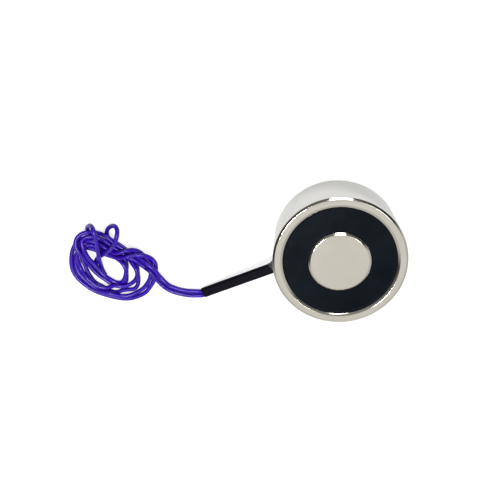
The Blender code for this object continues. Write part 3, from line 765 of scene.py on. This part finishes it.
def make_sleeve():
    """The shrunk sleeve, drawn in round its two leads and slightly wrinkled."""
    start, along, across, up = sleeve_frame()
    length = (SLEEVE_END - SLEEVE_START).length
    lip_depth, lip_length = 0.06, 0.25
    wrinkle, wrinkles = 0.03, 9
    stations = 90
    sides = 56
    outer, inner = [], []
    for station in range(stations + 1):
        share = station / stations
        place = start + along * length * share
        to_end = min(share, 1 - share) * length
        lip = lip_depth * max(0.0, 1 - to_end / lip_length)
        outer_ring, inner_ring = [], []
        for side in range(sides):
            angle = math.tau * side / sides
            spot = Vector((share * wrinkles, math.cos(angle), math.sin(angle)))
            thickness = SLEEVE_WALL - lip + wrinkle * noise.noise(spot)
            x, y = twin_section(angle, SLEEVE_CLEARANCE + thickness)
            outer_ring.append(place + across * x + up * y)
            x, y = twin_section(angle, SLEEVE_CLEARANCE)
            inner_ring.append(place + across * x + up * y)
        outer.append(outer_ring)
        inner.append(inner_ring)
    bm = bmesh.new()
    loft(bm, outer, inner)
    sleeve = add_piece("shrink_sleeve", bm, "heat_shrink", shrink_finish())
    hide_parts("lead_sleeve")
    return sleeve


def on_wall(place, along):
    """Where a line that runs along the sleeve through this point meets the pot's side."""
    radius = POT_RADIUS - 0.05
    a = along.x**2 + along.y**2
    b = 2 * (place.x * along.x + place.y * along.y)
    c = place.x**2 + place.y**2 - radius**2
    root = math.sqrt(b * b - 4 * a * c)
    return place + along * ((-b + root) / (2 * a))


def make_seal():
    """The epoxy fillet between the pot's side and the sleeve, uneven as it was dabbed on."""
    start, along, across, up = sleeve_frame()
    edge = 0.04
    seat = 0.28
    reach_past_lip = 0.6
    lumps, upper_swell = 0.22, 0.5
    stations = 14
    sides = 64
    outer, inner = [], []
    for station in range(stations + 1):
        share = station / stations
        flare = (1 - share) ** 2.2
        outer_ring, inner_ring = [], []
        for side in range(sides):
            angle = math.tau * side / sides
            spot = Vector((math.cos(angle), math.sin(angle), 3.0)) * 1.3
            uneven = 1 + lumps * noise.noise(spot)
            uneven += upper_swell * max(0.0, (across * math.cos(angle) + up * math.sin(angle)).y)
            reach = along * (SEAL_LENGTH * uneven + reach_past_lip) * share
            x, y = twin_section(angle, SEAL_CLEARANCE + edge + (SEAL_WIDTH * uneven - edge) * flare)
            outer_ring.append(on_wall(start + across * x + up * y, along) + reach)
            x, y = twin_section(angle, seat)
            inner_ring.append(on_wall(start + across * x + up * y, along) + reach)
        outer.append(outer_ring)
        inner.append(inner_ring)
    bm = bmesh.new()
    loft(bm, outer, inner)
    seal = add_piece("seal_bead", bm, "seal_epoxy", epoxy_finish())
    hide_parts("exit_seal")
    return seal


def finish_inner_nodes():
    """Gives the nodes inside the pot their own finishes."""
    wire = wire_finish()
    solder = bpy.data.materials["tinned_copper"]
    sleeving = sleeving_finish()
    finishes = {
        "base_insulator": paper_finish(),
        "coil_bobbin": nylon_finish(),
        "copper_winding": winding_finish(),
        "winding_tape": tape_finish(),
        "winding_finish_wire": wire,
        "winding_start_wire": wire,
        "start_wire_sleeving": sleeving,
        "splice_joint_a": solder,
        "splice_joint_b": solder,
        "splice_sleeving_a": sleeving,
        "splice_sleeving_b": sleeving,
    }
    for name, finish in finishes.items():
        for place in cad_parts[name].material_slots:
            place.material = finish


def make_camera():
    """The photograph's camera: its place, direction and lens."""
    camera = bpy.data.objects.new("camera", bpy.data.cameras.new("camera"))
    bpy.context.scene.collection.objects.link(camera)
    camera.data.lens = CAMERA_LENS
    camera.data.sensor_width = CAMERA_SENSOR
    camera.data.clip_start = 0.01
    back = -CAMERA_AHEAD.normalized()
    right = CAMERA_UP.cross(back).normalized()
    up = back.cross(right)
    turn = Matrix((right, up, back)).transposed()
    camera.matrix_world = Matrix.Translation(CAMERA_PLACE) @ turn.to_4x4()
    bpy.context.scene.camera = camera


def maths(tree, operation, first, second):
    """The result of one sum of two values, each an output or a number."""
    made = tree.nodes.new("ShaderNodeMath")
    made.operation = operation
    for place, value in zip(made.inputs, (first, second)):
        if isinstance(value, float):
            place.default_value = value
        else:
            tree.links.new(value, place)
    return made.outputs["Value"]


def shows_background(tree):
    """1 for the rays that show the background: the camera's and those of clear things."""
    path = tree.nodes.new("ShaderNodeLightPath")
    shown = maths(tree, "MAXIMUM", path.outputs["Is Camera Ray"], path.outputs["Is Transmission Ray"])
    return path, shown


def brightness_ramp(tree, levels, height):
    """The room's brightness from the horizon (0) up to the zenith (1)."""
    ramp = tree.nodes.new("ShaderNodeValToRGB")
    for place, _ in levels[1:-1]:
        ramp.color_ramp.elements.new(place)
    for element, (place, level) in zip(ramp.color_ramp.elements, levels):
        element.position = place
        element.color = (level, level, level, 1.0)
    tree.links.new(height, ramp.inputs["Fac"])
    return ramp.outputs["Color"]


def make_world():
    """White to the camera; to the object a pale room at its front and a dark one at its back."""
    world = bpy.data.worlds.new("studio")
    bpy.context.scene.world = world
    world.use_nodes = True
    tree = world.node_tree
    shown = tree.nodes["Background"]
    shown.inputs["Color"].default_value = (1.0, 1.0, 1.0, 1.0)
    shown.inputs["Strength"].default_value = 1.0
    place = tree.nodes.new("ShaderNodeTexCoord")
    split = tree.nodes.new("ShaderNodeSeparateXYZ")
    tree.links.new(place.outputs["Generated"], split.inputs["Vector"])
    front = tree.nodes.new("ShaderNodeMapRange")
    front.inputs["From Min"].default_value = -0.02
    front.inputs["From Max"].default_value = -0.3
    tree.links.new(split.outputs["Y"], front.inputs["Value"])
    walls = tree.nodes.new("ShaderNodeMix")
    walls.data_type = "RGBA"
    tree.links.new(front.outputs["Result"], walls.inputs["Factor"])
    tree.links.new(brightness_ramp(tree, BACK_LEVELS, split.outputs["Z"]), walls.inputs["A"])
    tree.links.new(brightness_ramp(tree, FRONT_LEVELS, split.outputs["Z"]), walls.inputs["B"])
    room = tree.nodes.new("ShaderNodeBackground")
    tree.links.new(walls.outputs["Result"], room.inputs["Color"])
    mix = tree.nodes.new("ShaderNodeMixShader")
    _, factor = shows_background(tree)
    tree.links.new(factor, mix.inputs["Fac"])
    tree.links.new(room.outputs["Background"], mix.inputs[1])
    tree.links.new(shown.outputs["Background"], mix.inputs[2])
    tree.links.new(mix.outputs["Shader"], tree.nodes["World Output"].inputs["Surface"])


def make_floor():
    """The white sheet that the object lies on."""
    bm = bmesh.new()
    bmesh.ops.create_grid(bm, x_segments=1, y_segments=1, size=1.5)
    mesh = bpy.data.meshes.new("floor")
    bm.to_mesh(mesh)
    bm.free()
    floor = bpy.data.objects.new("floor", mesh)
    floor.location = (0.0, 0.0, -0.02 * MM)
    bpy.context.scene.collection.objects.link(floor)
    finish = principled("white_sheet", (0.5, 0.5, 0.5), 0.9, specular=0.0)
    tree = finish.node_tree
    path, shown = shows_background(tree)
    mirrored = maths(tree, "MULTIPLY", path.outputs["Is Glossy Ray"], REFLECTED_LIFT)
    glow = maths(tree, "ADD", mirrored, maths(tree, "MULTIPLY", shown, FLOOR_LIFT))
    shader = tree.nodes["Principled BSDF"]
    shader.inputs["Emission Color"].default_value = (1.0, 1.0, 1.0, 1.0)
    tree.links.new(glow, shader.inputs["Emission Strength"])
    mesh.materials.append(finish)


def add_softbox(name, place, aim, width, height, power):
    """A rectangular lamp at this place that faces the aim, in metres and watts."""
    lamp = bpy.data.lights.new(name, "AREA")
    lamp.shape = "RECTANGLE"
    lamp.size = width
    lamp.size_y = height
    lamp.energy = power
    made = bpy.data.objects.new(name, lamp)
    made.location = place
    made.rotation_euler = (Vector(aim) - Vector(place)).to_track_quat("-Z", "Y").to_euler()
    bpy.context.scene.collection.objects.link(made)


def make_lights():
    """A key lamp from behind and two above, which aim down and a hair forward to lie square."""
    middle = (-0.03, 0.0, 0.01)
    add_softbox("key", (0.20, 0.45, 0.42), middle, 0.24, 0.15, 0.8)
    add_softbox("overhead", (0.19, -0.03, 0.455), (0.19, -0.029, 0.0), 0.14, 0.12, 0.5)
    add_softbox("spot", (-0.11, -0.02, 0.455), (-0.11, -0.019, 0.0), 0.09, 0.09, 1.1)


def main():
    make_camera()
    violet = violet_finish()
    tinned_finish()
    lines = lead_lines()
    leads = [add_lead(f"violet_lead_{letter}", line, violet) for letter, line in zip("ab", lines)]
    tips = [make_tip(letter, line) for letter, line in zip("ab", lines)]
    sleeve = make_sleeve()
    seal = make_seal()
    make_pot()
    make_thread()
    make_resin()
    finish_inner_nodes()
    for letter, lead, line, tip, others in zip("ab", leads, lines, tips, ([sleeve, seal], [])):
        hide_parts(f"lead_{letter}", "lead_hank")
    make_world()
    make_floor()
    make_lights()
    bpy.context.scene.view_settings.view_transform = "Standard"


main()
